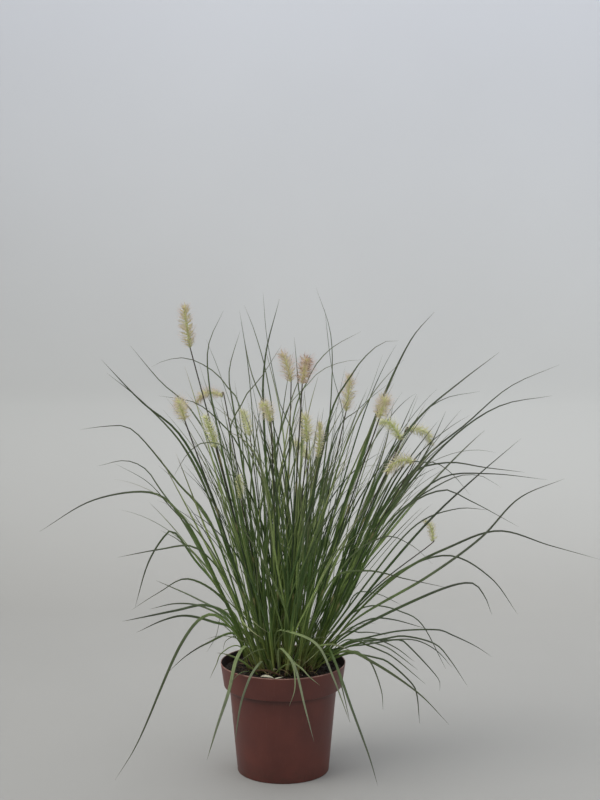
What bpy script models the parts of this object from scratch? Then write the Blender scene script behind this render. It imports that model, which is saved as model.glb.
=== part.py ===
"""Potted ornamental grass clump: a dwarf fountain grass in a round nursery pot.

Metres, +Z up. The origin is the middle of the pot's underside and -Y is the front of the clump.
Sizes and places below are in millimetres; the functions turn them into metres.

A real clump holds a few hundred blades. The ten arching leaves that stand clear of it are solids of
their own, and twelve slim tapered bodies, the tufts, each reach the tips of one bundle of the rest.
"""
import math

import bmesh
import bpy
from mathutils import Vector

MM = 0.001
GAP = 0.3

# The pot: a round tapered nursery pot with a deep collar.
POT_HEIGHT = 150.0
RIM_RADIUS = 85.0
COLLAR_HEIGHT = 32.0
COLLAR_FOOT_RADIUS = 80.3
STEP_DROP = 3.0
BODY_TOP_RADIUS = 72.6
BASE_RADIUS = 62.3
WALL = 1.3
FLOOR = 1.8
EDGE = 0.7
POT_STEPS = 48

# Drain holes, in a ring well inside the flat base.
HOLE_COUNT = 8
HOLE_RADIUS = 4.5
HOLE_RING = 42.0
HOLE_SIDES = 12

# The compost stops a finger's width below the rim, and is mounded up round the clump.
SOIL_EDGE = 139.0
SOIL_MOUND = 8.0
MOUND_RADIUS = 64.0
SOIL_STEPS = 48

# Shoots leave the compost as if they all rose from one point below it.
CROWN_DEPTH = 90.0
CROWN_RADIUS = 44.0
STEM_RADII = (1.4, 1.1, 0.9, 0.8)
SPIKE_JOINT = 6.0
SPIKE_RADII = (2.6, 6.8, 8.4, 2.4)
TUFT_RADII = (4.6, 8.0, 6.0, 1.0)
BLADE_WIDTH = 4.6
BLADE_THICKNESS = 1.0
BLADE_TAPER = (0.75, 1.0, 0.95, 0.7, 0.25)

# Flower heads: where each spike starts on its stem, and its tip.
FLOWERS = (
    ((-120, -40, 580), (-126, -50, 634)),
    ((-118, -170, 500), (-122, -204, 526)),
    ((-84, 60, 505), (-120, 76, 496)),
    ((-85, -90, 455), (-98, -100, 496)),
    ((-48, 110, 445), (-60, 126, 478)),
    ((-14, -120, 492), (-24, -158, 516)),
    ((10, 70, 525), (-12, 86, 558)),
    ((26, -140, 542), (32, -182, 574)),
    ((32, -60, 458), (28, -74, 494)),
    ((46, -110, 445), (48, -120, 490)),
    ((34, 100, 412), (16, 118, 434)),
    ((85, 20, 490), (90, 26, 536)),
    ((122, -132, 498), (126, -174, 524)),
    ((150, -90, 465), (124, -108, 490)),
    ((172, 72, 456), (206, 92, 436)),
    ((164, -100, 436), (134, -112, 428)),
    ((214, 150, 286), (206, 166, 312)),
    ((-54, -62, 385), (-56, -72, 416)),
)

# Arching leaves: the points that each blade passes through, from low on the clump to its tip.
LEAVES = (
    ((-105, -30, 305), (-140, -38, 365), (-178, -44, 390), (-250, -54, 380), (-318, -60, 340)),
    ((-64, -40, 200), (-98, -46, 226), (-136, -52, 185), (-190, -62, 62), (-222, -70, 8)),
    ((-47, -45, 182), (-61, -62, 169), (-70, -94, 135), (-83, -129, 101), (-94, -165, 69)),
    ((-9, -49, 201), (14, -72, 208), (46, -105, 200), (65, -145, 170), (85, -180, 123)),
    ((80, -40, 365), (105, -52, 440), (130, -62, 515), (164, -72, 590), (194, -80, 628)),
    ((100, 6, 215), (160, 4, 272), (222, 2, 306), (290, 0, 330), (360, 0, 310), (430, 0, 290)),
    ((92, -26, 210), (190, -42, 275), (260, -52, 330), (308, -60, 384), (366, -70, 412)),
    ((82, -38, 174), (122, -56, 163), (178, -80, 130), (216, -108, 96)),
    ((16, 90, 260), (26, 150, 330), (40, 220, 325), (52, 288, 225)),
    ((-5, -66, 184), (6, -92, 185), (18, -130, 175), (29, -195, 148), (40, -246, 120)),
)

# Tufts: the highest point that each bundle of blades reaches, and how far it bows outwards.
TUFTS = (
    ((-235, 40, 470), 0.20),
    ((-190, -88, 520), 0.14),
    ((-104, 12, 618), 0.08),
    ((-150, 190, 470), 0.20),
    ((-24, -34, 652), 0.04),
    ((-60, -205, 470), 0.20),
    ((48, 62, 652), 0.05),
    ((146, -30, 596), 0.12),
    ((-38, 212, 500), 0.18),
    ((288, 70, 548), 0.16),
    ((205, 220, 400), 0.24),
    ((228, -190, 400), 0.24),
)

COLOURS = {
    "pot_plastic": ("#6b3a34", 0.55),
    "potting_soil": ("#241b15", 0.95),
    "stem_green": ("#6f8248", 0.60),
    "spike_straw": ("#b3a878", 0.85),
    "leaf_green": ("#33502c", 0.50),
}


def clear_scene():
    """Remove every object that the file opens with."""
    for thing in list(bpy.data.objects):
        bpy.data.objects.remove(thing, do_unlink=True)


def linear(channel):
    """One sRGB channel, 0 to 1, as linear light."""
    if channel <= 0.04045:
        return channel / 12.92
    return ((channel + 0.055) / 1.055) ** 2.4


def material(name):
    """The Principled material of one row of COLOURS."""
    colour, roughness = COLOURS[name]
    channels = [linear(int(colour[i:i + 2], 16) / 255.0) for i in (1, 3, 5)]
    made = bpy.data.materials.get(name) or bpy.data.materials.new(name)
    made.use_nodes = True
    shader = made.node_tree.nodes["Principled BSDF"]
    shader.inputs["Base Color"].default_value = (*channels, 1.0)
    shader.inputs["Roughness"].default_value = roughness
    shader.inputs["Metallic"].default_value = 0.0
    return made


def add_object(name, data, finish):
    """Link an object of this data, with its material."""
    made = bpy.data.objects.new(name, data)
    bpy.context.collection.objects.link(made)
    if finish:
        data.materials.append(material(finish))
    return made


def turned(name, outline, steps, finish):
    """A closed outline of (radius, height) points, turned once about the Z axis.

    The outline runs down the outer side and back up the inner side.
    """
    mesh = bpy.data.meshes.new(name)
    shape = bmesh.new()
    verts = [shape.verts.new((radius * MM, 0.0, height * MM)) for radius, height in outline]
    closed = outline[0][0] > 0.0
    for first, second in zip(verts, verts[1:] + verts[:1] if closed else verts[1:]):
        shape.edges.new((first, second))
    shape.to_mesh(mesh)
    shape.free()
    made = add_object(name, mesh, finish)
    screw = made.modifiers.new("turn", "SCREW")
    screw.axis = "Z"
    screw.steps = steps
    screw.render_steps = steps
    screw.use_merge_vertices = True
    screw.merge_threshold = 0.00001
    return made


def inner_wall(height):
    """The pot's inner radius at a height: the outer radius less the wall."""
    step_foot = POT_HEIGHT - COLLAR_HEIGHT - STEP_DROP
    if height <= step_foot:
        share = height / step_foot
        return BASE_RADIUS + (BODY_TOP_RADIUS - BASE_RADIUS) * share - WALL
    share = (height - step_foot - STEP_DROP) / COLLAR_HEIGHT
    return COLLAR_FOOT_RADIUS + (RIM_RADIUS - COLLAR_FOOT_RADIUS) * max(share, 0.0) - WALL


def pot_outline():
    """Down the outside, across the flat base, up the inside and over the rim."""
    collar_foot = POT_HEIGHT - COLLAR_HEIGHT
    step_foot = collar_foot - STEP_DROP
    return [
        (RIM_RADIUS - EDGE * 0.3, POT_HEIGHT),
        (RIM_RADIUS, POT_HEIGHT - EDGE),
        (COLLAR_FOOT_RADIUS, collar_foot + EDGE),
        (COLLAR_FOOT_RADIUS - EDGE, collar_foot),
        (BODY_TOP_RADIUS, step_foot),
        (BASE_RADIUS, EDGE),
        (BASE_RADIUS - EDGE, 0.0),
        (HOLE_RING * 0.4, 0.0),
        (0.0, 0.0),
        (0.0, FLOOR),
        (HOLE_RING * 0.4, FLOOR),
        (inner_wall(FLOOR), FLOOR),
        (inner_wall(step_foot), step_foot),
        (inner_wall(collar_foot), collar_foot),
        (inner_wall(POT_HEIGHT), POT_HEIGHT),
    ]


def build_pot():
    """The pot, one moulding with drain holes through its base."""
    outline = pot_outline()
    middle = outline.index((0.0, 0.0))
    around = outline[middle + 1:] + outline[:middle + 1]
    pot = turned("pot", around, POT_STEPS, "pot_plastic")
    cutter_mesh = bpy.data.meshes.new("drain_cutter")
    shape = bmesh.new()
    for index in range(HOLE_COUNT):
        angle = 2.0 * math.pi * (index + 0.5) / HOLE_COUNT
        made = bmesh.ops.create_cone(
            shape, cap_ends=True, segments=HOLE_SIDES, radius1=HOLE_RADIUS * MM,
            radius2=HOLE_RADIUS * MM, depth=FLOOR * 4.0 * MM)
        place = Vector((math.cos(angle), math.sin(angle), 0.0)) * HOLE_RING * MM
        bmesh.ops.translate(shape, verts=made["verts"], vec=place)
    shape.to_mesh(cutter_mesh)
    shape.free()
    cutter = add_object("drain_cutter", cutter_mesh, None)
    cutter.hide_render = True
    cutter.display_type = "WIRE"
    cut = pot.modifiers.new("drain_holes", "BOOLEAN")
    cut.operation = "DIFFERENCE"
    cut.solver = "EXACT"
    cut.object = cutter
    return pot


def soil_height(radius):
    """The top of the compost: level at the wall, with a low round mound in the middle."""
    share = min(radius / MOUND_RADIUS, 1.0)
    return SOIL_EDGE + SOIL_MOUND * (1.0 - share ** 2) ** 2


def build_soil():
    """The compost: it fills the pot, a hair's breadth clear of the wall and floor."""
    collar_foot = POT_HEIGHT - COLLAR_HEIGHT
    step_foot = collar_foot - STEP_DROP
    bottom = FLOOR + GAP
    mound = [MOUND_RADIUS * share for share in (0.0, 0.25, 0.45, 0.65, 0.85, 1.0)]
    outline = [(radius, soil_height(radius)) for radius in mound]
    outline += [
        (inner_wall(SOIL_EDGE) - GAP * 1.5, SOIL_EDGE),
        (inner_wall(collar_foot) - GAP * 1.5, collar_foot + GAP),
        (inner_wall(step_foot) - GAP * 1.5, step_foot + GAP),
        (inner_wall(bottom) - GAP * 1.5, bottom),
        (0.0, bottom),
    ]
    return turned("potting_soil", outline, SOIL_STEPS, "potting_soil")


def root_under(point, lift):
    """Where a shoot that heads for this point leaves the compost."""
    sideways = Vector((point.x, point.y, 0.0))
    reach = sideways.length * CROWN_DEPTH / (point.z - SOIL_EDGE + CROWN_DEPTH)
    root = sideways.normalized() * min(reach, CROWN_RADIUS)
    root.z = soil_height(root.length) + lift
    return root


def between(first, last, share, bow):
    """A point part of the way along a shoot, raised from the straight line by the bow."""
    span = last - first
    outwards = Vector((span.x, span.y, 0.0))
    lift = outwards.length * bow * 4.0 * share * (1.0 - share)
    pull = -outwards * bow * 2.0 * share * (1.0 - share)
    return first + span * share + pull + Vector((0.0, 0.0, lift))


def shoot(name, points, radii, finish, sides=6, resolution=4, profile=None):
    """A smooth tapering stalk through the points, closed at both ends."""
    curve = bpy.data.curves.new(name, "CURVE")
    curve.dimensions = "3D"
    curve.resolution_u = resolution
    curve.render_resolution_u = resolution
    curve.use_fill_caps = True
    if profile:
        curve.bevel_mode = "OBJECT"
        curve.bevel_object = profile
        curve.twist_mode = "Z_UP"
    else:
        curve.bevel_depth = MM
        curve.bevel_resolution = (sides - 4) // 2
        curve.twist_mode = "MINIMUM"
    spline = curve.splines.new("BEZIER")
    spline.bezier_points.add(len(points) - 1)
    spline.radius_interpolation = "CARDINAL"
    for knot, point, radius in zip(spline.bezier_points, points, radii):
        knot.co = point * MM
        knot.radius = radius
        knot.handle_left_type = "AUTO"
        knot.handle_right_type = "AUTO"
    return add_object(name, curve, finish)


def build_flower(number, base, tip):
    """One flowering stem and the bottle-brush spike on its end, which start out in line."""
    base = Vector(base)
    tip = Vector(tip)
    root = root_under(base, GAP + STEM_RADII[0])
    heading = (base - root).normalized()
    nod = (heading * 0.6 + (tip - base).normalized() * 0.4).normalized()
    stem_end = base - nod * GAP * 0.5
    stem = [root, between(root, base, 0.5, 0.05), stem_end - nod * SPIKE_JOINT, stem_end]
    shoot(f"flower_stem_{number:02d}", stem, STEM_RADII, "stem_green", resolution=2)
    spike_start = base + nod * GAP * 0.5
    middle = (spike_start + nod * (tip - base).length * 0.6 + tip) * 0.5
    spike = [spike_start, spike_start + nod * SPIKE_JOINT, middle, tip]
    shoot(f"flower_spike_{number:02d}", spike, SPIKE_RADII, "spike_straw", sides=8, resolution=2)


def blade_profile():
    """The flat lens that a leaf's blade has across it."""
    curve = bpy.data.curves.new("blade_profile", "CURVE")
    curve.dimensions = "2D"
    spline = curve.splines.new("POLY")
    half = BLADE_WIDTH * 0.5 * MM
    thick = BLADE_THICKNESS * 0.5 * MM
    corners = [(half, 0.0), (half * 0.45, -thick), (-half * 0.45, -thick),
               (-half, 0.0), (-half * 0.45, thick), (half * 0.45, thick)]
    spline.points.add(len(corners) - 1)
    for knot, (across, through) in zip(spline.points, corners):
        knot.co = (across, through, 0.0, 1.0)
    spline.use_cyclic_u = True
    profile = add_object("blade_profile", curve, None)
    profile.hide_render = True
    profile.display_type = "WIRE"
    return profile


def build_leaf(number, points, profile):
    """One long arching blade, from the compost to its tip."""
    route = [Vector(point) for point in points]
    root = root_under(route[0], GAP + BLADE_WIDTH * 0.5)
    route.insert(0, root)
    last = len(route) - 1
    taper = len(BLADE_TAPER) - 1
    radii = []
    for index in range(len(route)):
        place = index / last * taper
        lower = min(int(place), taper - 1)
        share = place - lower
        radii.append(BLADE_TAPER[lower] * (1.0 - share) + BLADE_TAPER[lower + 1] * share)
    shoot(f"arching_leaf_{number:02d}", route, radii, "leaf_green", resolution=3, profile=profile)


def build_tuft(number, tip, bow):
    """One bundle of blades, as a slim body that swells and then tapers to their tips."""
    tip = Vector(tip)
    root = root_under(tip, GAP + TUFT_RADII[0] * 0.7)
    route = [root, between(root, tip, 0.35, bow), between(root, tip, 0.7, bow), tip]
    shoot(f"leaf_tuft_{number:02d}", route, TUFT_RADII, "leaf_green", resolution=3)


def main():
    clear_scene()
    build_pot()
    build_soil()
    for number, (base, tip) in enumerate(FLOWERS, 1):
        build_flower(number, base, tip)
    profile = blade_profile()
    for number, points in enumerate(LEAVES, 1):
        build_leaf(number, points, profile)
    for number, (tip, bow) in enumerate(TUFTS, 1):
        build_tuft(number, tip, bow)


main()
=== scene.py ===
"""Looks of a dwarf fountain grass in a round nursery pot.

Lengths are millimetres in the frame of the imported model, unless a line says metres: +Z up, -Y towards
the front, the origin in the middle of the pot's underside. put_mesh turns them into metres.
"""
import math
from functools import partial

import bpy
import numpy as np
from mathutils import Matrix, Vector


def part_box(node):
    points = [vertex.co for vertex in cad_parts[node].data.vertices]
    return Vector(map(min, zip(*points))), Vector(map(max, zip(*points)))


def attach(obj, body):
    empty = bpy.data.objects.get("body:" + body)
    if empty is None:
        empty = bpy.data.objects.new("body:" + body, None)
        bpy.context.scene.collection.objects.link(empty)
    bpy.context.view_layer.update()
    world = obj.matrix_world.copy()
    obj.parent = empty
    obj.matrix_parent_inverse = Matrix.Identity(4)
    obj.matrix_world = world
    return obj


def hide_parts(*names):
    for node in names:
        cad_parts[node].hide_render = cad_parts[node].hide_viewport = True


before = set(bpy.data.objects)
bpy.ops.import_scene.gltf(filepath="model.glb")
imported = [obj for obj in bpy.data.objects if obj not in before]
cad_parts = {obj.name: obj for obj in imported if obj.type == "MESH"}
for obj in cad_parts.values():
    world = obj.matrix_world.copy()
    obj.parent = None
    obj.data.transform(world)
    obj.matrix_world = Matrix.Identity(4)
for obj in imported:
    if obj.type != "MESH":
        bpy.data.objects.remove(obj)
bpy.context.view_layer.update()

MM = 0.001
FULL_TURN = 2.0 * math.pi
# A sunflower's angle from one seed to the next, which spaces them evenly.
SPIRAL_STEP = math.radians(137.5)
RANDOM_SEED = 17
CLUMP_SEED = 13

# The pot, from the frame where it gives a size.
pot_low, pot_high = [np.array(corner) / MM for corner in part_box("pot")]
POT_HEIGHT = pot_high[2]
RIM_RADIUS = (pot_high[0] - pot_low[0]) / 2.0
COLLAR_HEIGHT = 32.0
COLLAR_FOOT = POT_HEIGHT - COLLAR_HEIGHT
COLLAR_FOOT_RADIUS = 80.3
STEP_DROP = 3.0
STEP_FOOT = COLLAR_FOOT - STEP_DROP
BODY_TOP_RADIUS = 72.6
BASE_RADIUS = 62.3
WALL = 1.3
POT_FLOOR = 1.8
HOLE_COUNT = 8
HOLE_RADIUS = 4.5
HOLE_RING = 42.0

# The compost's level at the wall, its mound, and the foot that the clump stands on. Shoots head away
# from a point so far below the compost.
SOIL_EDGE = 139.0
SOIL_MOUND = 8.0
MOUND_RADIUS = 64.0
CROWN_DEPTH = 90.0
CROWN_RADIUS = 44.0

# The clump: its shoots, their blades, and the lean of the outermost.
SHOOT_COUNT = 37
BLADES_PER_SHOOT = 7
SHOOT_LEAN = math.radians(19.0)

# Loose things on the compost and low in the clump.
CRUMB_COUNT = 1500
PERLITE_COUNT = 26
FIBRE_COUNT = 170
DRY_LEAF_COUNT = 34
YOUNG_LEAF_COUNT = 90

# A direction that no spike or hair runs along, to measure turns round a spike from.
SLANT = np.array([0.31, 0.87, 0.38])

# Flower heads: where each spike starts on its stem, its tip, its ripeness from fresh green
# to straw and pink, and how long its bristles are.
FLOWERS = (
    ((-120, -40, 580), (-126, -50, 634), 0.60, 12.0),
    ((-118, -170, 500), (-122, -204, 526), 0.50, 12.0),
    ((-84, 60, 505), (-120, 76, 496), 0.60, 9.5),
    ((-85, -90, 455), (-98, -100, 496), 0.05, 10.0),
    ((-48, 110, 445), (-60, 126, 478), 0.10, 11.0),
    ((-14, -120, 492), (-24, -158, 516), 0.40, 10.5),
    ((10, 70, 525), (-2, 82, 562), 0.75, 12.5),
    ((26, -140, 542), (32, -182, 574), 0.95, 12.0),
    ((32, -60, 458), (28, -74, 494), 0.35, 12.5),
    ((46, -110, 445), (48, -120, 490), 0.40, 8.5),
    ((34, 100, 412), (16, 118, 434), 0.15, 13.0),
    ((85, 20, 490), (90, 26, 536), 0.60, 12.0),
    ((122, -132, 498), (126, -174, 524), 0.55, 12.5),
    ((150, -90, 465), (124, -108, 490), 0.00, 10.5),
    ((172, 72, 456), (206, 92, 436), 0.20, 10.5),
    ((164, -100, 436), (134, -112, 428), 0.40, 11.5),
    ((214, 150, 286), (206, 166, 312), 0.30, 8.0),
    ((-54, -62, 385), (-56, -72, 416), 0.00, 8.0),
)

# Arching leaves, as their solids run: width, tone, then the points from low on the clump to the tip.
# A leaf's tone runs from 0, deep green, to 1, pale; the tones near 1 of the low front leaves are painted
# light, for the light they catch.
ARCHING_LEAVES = (
    (3.8, 0.2, ((-105, -30, 305), (-140, -38, 365), (-178, -44, 390), (-250, -54, 380), (-318, -60, 340))),
    (4.4, 0.4, ((-64, -40, 200), (-98, -46, 226), (-136, -52, 185), (-190, -62, 62), (-222, -70, 8))),
    (5.2, 0.97, ((-47, -45, 182), (-61, -62, 169), (-70, -94, 135), (-83, -129, 101), (-94, -165, 69))),
    (4.2, 0.96, ((-9, -49, 201), (14, -72, 208), (46, -105, 200), (65, -145, 170), (85, -180, 123))),
    (5.4, 0.1, ((80, -40, 365), (105, -52, 440), (130, -62, 515), (164, -72, 590), (194, -80, 628))),
    (3.8, 0.3, ((100, 6, 215), (160, 4, 272), (222, 2, 306), (290, 0, 330), (360, 0, 310), (430, 0, 290))),
    (4.0, 0.3, ((92, -26, 210), (190, -42, 275), (260, -52, 330), (308, -60, 384), (366, -70, 412))),
    (4.2, 0.4, ((82, -38, 174), (122, -56, 163), (178, -80, 130), (216, -108, 96))),
    (4.6, 0.4, ((16, 90, 260), (26, 150, 330), (40, 220, 325), (52, 288, 225))),
    (4.0, 0.97, ((-5, -66, 184), (6, -92, 185), (18, -130, 175), (29, -195, 148), (40, -246, 120))),
)

# Tufts: the highest point of each bundle of blades.
TUFTS = (
    (-235, 40, 470),
    (-190, -88, 520),
    (-104, 12, 618),
    (-150, 190, 470),
    (-24, -34, 652),
    (-60, -205, 470),
    (48, 62, 652),
    (146, -30, 596),
    (-38, 212, 500),
    (288, 70, 548),
    (205, 220, 400),
    (228, -190, 400),
)

# Blades of the tufts that stand out from the rest. Each row: depth of the tip, where the root is
# from left to right, width, tone, then (left to right, height) points up to the tip.
LOOSE_BLADES = (
    # left side
    (60, -35, 3.6, 0.3, ((-95, 325), (-145, 390), (-190, 445), (-215, 465), (-245, 465), (-280, 460))),
    (120, -38, 3.0, 0.3, ((-125, 305), (-175, 375), (-195, 400), (-225, 410), (-265, 400))),
    (-90, -38, 2.6, 0.4, ((-110, 320), (-150, 380), (-175, 410), (-215, 435))),
    (-50, -25, 4.4, 0.1, ((-65, 280), (-95, 385), (-135, 465), (-185, 510), (-235, 565))),
    (40, -28, 3.6, 0.2, ((-95, 355), (-135, 440), (-190, 500), (-240, 540))),
    (150, -20, 3.2, 0.2, ((-90, 400), (-130, 480), (-175, 520), (-220, 570))),
    (-120, -20, 3.0, 0.3, ((-35, 385), (-55, 455), (-80, 490), (-110, 515), (-155, 525))),
    (200, -15, 3.0, 0.3, ((-55, 450), (-85, 515), (-115, 540), (-145, 550), (-175, 545), (-195, 535))),
    (-140, -10, 3.0, 0.3, ((-50, 385), (-70, 455), (-100, 465), (-120, 450), (-135, 425))),
    (40, -42, 3.8, 0.2, ((-85, 240), (-120, 285), (-145, 320), (-158, 322), (-185, 280), (-205, 215))),
    (160, -40, 3.2, 0.3, ((-95, 240), (-145, 285), (-180, 300))),
    (-150, -30, 3.6, 0.3, ((-60, 250), (-85, 300), (-115, 330), (-155, 330), (-205, 325))),
    (-100, -45, 3.8, 0.3, ((-60, 210), (-85, 255), (-125, 280), (-160, 265), (-195, 245))),
    (140, -45, 3.2, 0.4, ((-80, 195), (-125, 215), (-185, 230))),
    (60, -48, 4.4, 0.1, ((-70, 200), (-105, 220), (-150, 210), (-225, 190))),
    (-40, -48, 4.2, 0.2, ((-65, 195), (-95, 210), (-130, 220), (-160, 215), (-195, 200))),
    (90, -48, 3.2, 0.3, ((-70, 190), (-110, 212), (-150, 213), (-190, 200))),
    (30, -50, 3.8, 0.4, ((-65, 185), (-105, 170), (-135, 150), (-160, 125))),
    (100, -45, 2.6, 0.4, ((-65, 200), (-85, 205), (-95, 165), (-110, 135))),
    # top
    (30, -20, 3.6, 0.2, ((-85, 450), (-100, 530), (-100, 580), (-80, 625))),
    (-110, -15, 3.6, 0.3, ((-40, 410), (-60, 490), (-80, 555), (-95, 595))),
    (90, -15, 3.8, 0.2, ((-55, 405), (-70, 495), (-75, 540), (-60, 595))),
    (-60, -10, 3.4, 0.2, ((-35, 420), (-40, 500), (-45, 560), (-55, 630))),
    (120, -5, 3.4, 0.3, ((-10, 390), (-20, 470), (-45, 535), (-60, 605))),
    (-30, 0, 3.4, 0.3, ((-10, 440), (-20, 535), (-35, 595), (-50, 635))),
    (-40, 5, 4.0, 0.1, ((15, 430), (-5, 510), (-20, 590), (-25, 652))),
    (50, -5, 4.2, 0.1, ((-25, 450), (-25, 555), (-5, 640))),
    (-150, -15, 3.0, 0.3, ((-65, 440), (-50, 515), (-25, 550), (0, 590))),
    (100, 5, 3.4, 0.3, ((25, 430), (20, 525), (15, 585))),
    (60, 20, 3.8, 0.2, ((55, 410), (65, 505), (65, 590), (45, 655))),
    (-50, 15, 4.2, 0.1, ((70, 405), (80, 485), (65, 550), (55, 630))),
    (150, 0, 2.8, 0.4, ((10, 440), (35, 525), (65, 565), (110, 590))),
    (-120, -5, 3.2, 0.3, ((-5, 455), (35, 540), (70, 565), (100, 570))),
    (-60, 5, 3.8, 0.2, ((55, 460), (90, 545), (125, 585), (150, 590))),
    (120, 20, 3.0, 0.4, ((90, 430), (120, 505), (140, 560))),
    (180, 15, 3.4, 0.2, ((65, 420), (110, 480), (155, 515))),
    # right side
    (-60, 30, 4.6, 0.1, ((90, 320), (140, 430), (180, 490), (230, 535), (280, 575))),
    (140, 25, 3.0, 0.3, ((130, 385), (180, 460), (225, 495), (280, 505))),
    (60, 35, 4.0, 0.2, ((110, 310), (185, 415), (250, 470), (310, 520), (380, 550))),
    (-120, 32, 4.0, 0.2, ((95, 285), (155, 390), (215, 465), (275, 510), (340, 525))),
    (-30, 28, 4.4, 0.2, ((135, 350), (190, 440), (215, 495))),
    (40, 30, 4.6, 0.1, ((70, 185), (130, 260), (200, 340), (265, 400), (325, 450))),
    (160, 30, 3.8, 0.2, ((105, 290), (170, 385), (230, 405), (290, 395), (350, 385))),
    (60, 35, 3.8, 0.2, ((90, 245), (155, 340), (215, 395), (285, 400), (365, 390))),
    (-100, 30, 3.4, 0.3, ((85, 260), (140, 355), (210, 410), (250, 420), (280, 405))),
    (-160, 32, 3.6, 0.3, ((90, 265), (150, 370), (200, 405), (235, 395), (295, 365))),
    (200, 20, 3.4, 0.3, ((150, 375), (205, 400), (240, 385), (275, 345))),
    (130, 35, 3.4, 0.3, ((120, 250), (185, 320), (245, 340), (295, 335))),
    (80, 42, 3.6, 0.3, ((90, 205), (160, 265), (230, 285), (290, 250), (330, 195))),
    (-60, 42, 5.0, 0.2, ((85, 190), (190, 250), (245, 270), (265, 255), (275, 230))),
    (-170, 15, 3.6, 0.4, ((60, 275), (105, 300), (160, 295), (210, 290))),
    (-190, 10, 3.0, 0.4, ((75, 300), (125, 350), (160, 345), (185, 325))),
    # the thick bundle on the right
    (-60, 22, 4.0, 0.1, ((80, 236), (116, 337), (146, 404), (180, 456), (203, 487))),
    (-20, 26, 4.0, 0.2, ((84, 232), (122, 336), (156, 403), (192, 448), (225, 475), (248, 489))),
    (30, 20, 3.8, 0.2, ((76, 231), (110, 332), (138, 397), (163, 443), (190, 490))),
    (60, 18, 3.8, 0.5, ((72, 233), (100, 327), (125, 394), (142, 447), (152, 501))),
    (0, 28, 4.0, 0.2, ((88, 235), (130, 334), (164, 390), (192, 426), (222, 453))),
    (-90, 18, 4.0, 0.4, ((80, 251), (107, 329), (127, 380), (146, 423), (165, 455))),
    (90, 16, 4.2, 0.1, ((68, 246), (92, 312), (111, 364), (131, 409), (146, 456))),
    # low on the right
    (60, 44, 3.2, 0.2, ((85, 170), (112, 176), (161, 184), (213, 183), (231, 176), (267, 157), (292, 139))),
    (-60, 42, 3.4, 0.2, ((77, 170), (104, 181), (137, 189), (163, 194), (202, 186), (222, 166), (245, 132))),
    (120, 42, 3.2, 0.2, ((85, 158), (113, 160), (142, 162), (161, 162), (175, 152), (220, 96), (225, 72))),
    (-130, 42, 3.2, 0.2, ((76, 190), (98, 198), (121, 198), (137, 195), (151, 188), (173, 175))),
    (30, 46, 3.4, 0.3, ((87, 157), (105, 156), (126, 151), (144, 144), (174, 116), (184, 97), (189, 52))),
    (140, 38, 2.8, 0.3, ((86, 170), (108, 166), (126, 161), (151, 149))),
    (90, 36, 2.6, 0.3, ((78, 188), (92, 205), (109, 214), (131, 216), (162, 206), (194, 184), (231, 112))),
    (170, 30, 2.6, 0.3, ((86, 198), (97, 215), (109, 221), (126, 216), (143, 208), (173, 186))),
    (190, 40, 2.6, 0.3, ((100, 158), (144, 154), (189, 146), (224, 121), (250, 86))),
    (20, 44, 3.0, 0.2, ((82, 185), (118, 205), (150, 204), (196, 190))),
    (-40, 40, 3.0, 0.3, ((80, 176), (118, 188), (150, 178), (176, 160))),
)

# Blades low on the clump that hang over the rim: width, tone, then points up to the tip. The pale tones of
# those at the front are painted light, for the light they catch.
HANGING_BLADES = (
    (4.2, 0.15, ((58, -38, 176), (64, -52, 177), (75, -76, 154), (90, -100, 116), (111, -130, 64),
                 (122, -148, 29))),
    (3.0, 0.25, ((56, -36, 170), (70, -58, 162), (80, -82, 130), (88, -98, 96))),
    (3.8, 1.0, ((-25, -40, 155), (-28, -60, 166), (-39, -88, 159), (-46, -100, 146), (-54, -112, 122),
                (-60, -138, 84))),
    (2.6, 0.96, ((-20, -30, 170), (-30, -50, 180), (-44, -68, 178), (-55, -80, 172))),
    (2.6, 0.96, ((6, -48, 168), (12, -68, 167), (16, -90, 158), (16, -102, 140), (9, -112, 122))),
    (2.8, 0.97, ((12, -44, 163), (18, -62, 163), (27, -80, 161), (36, -94, 155), (49, -104, 147))),
    (3.0, 0.6, ((50, -30, 170), (48, -42, 176), (42, -56, 174), (26, -70, 164))),
    (3.8, 0.7, ((40, -38, 178), (52, -60, 188), (68, -86, 196), (90, -110, 194))),
    (3.4, 0.8, ((-50, -30, 222), (-54, -50, 220), (-40, -70, 210), (-24, -82, 202))),
    (3.4, 0.7, ((-40, -20, 232), (-46, -50, 228), (-32, -72, 218), (-16, -90, 212))),
    (2.8, 0.3, ((90, -16, 167), (106, -26, 166), (119, -36, 156), (131, -52, 125), (133, -60, 100))),
    (2.8, 0.3, ((93, -10, 179), (112, -16, 177), (131, -22, 171), (150, -28, 162), (192, -42, 129))),
    (2.0, 0.5, ((-60, -4, 172), (-83, -10, 164), (-90, -18, 150), (-99, -28, 132))),
    (2.0, 0.5, ((-50, -4, 180), (-62, -6, 187), (-77, -14, 182), (-81, -20, 168))),
    (3.0, 0.5, ((-20, 60, 170), (-30, 96, 182), (-44, 140, 150), (-52, 170, 100))),
    (3.4, 0.4, ((20, 62, 175), (34, 100, 186), (52, 150, 150), (60, 190, 96))),
)

# Pale bits of leaf that lie against the rim at the front: width, then points from end to end.
PALE_SCRAPS = (
    (4.6, ((-28, -76, 150), (-24, -77, 151.5), (-20, -78, 151.5), (-15, -78, 150.5), (-11, -79, 149))),
    (2.2, ((-10, -78, 148.5), (-6, -79, 149.5), (-2, -79, 150.5), (1, -77, 151))),
)


def linear(hex_colour):
    """An sRGB hex colour as linear red, green, blue and a full alpha."""
    channels = np.array([int(hex_colour[i:i + 2], 16) / 255.0 for i in (1, 3, 5)])
    low = channels / 12.92
    high = ((channels + 0.055) / 1.055) ** 2.4
    return (*np.where(channels <= 0.04045, low, high), 1.0)


# ---------------------------------------------------------------- materials

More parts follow.
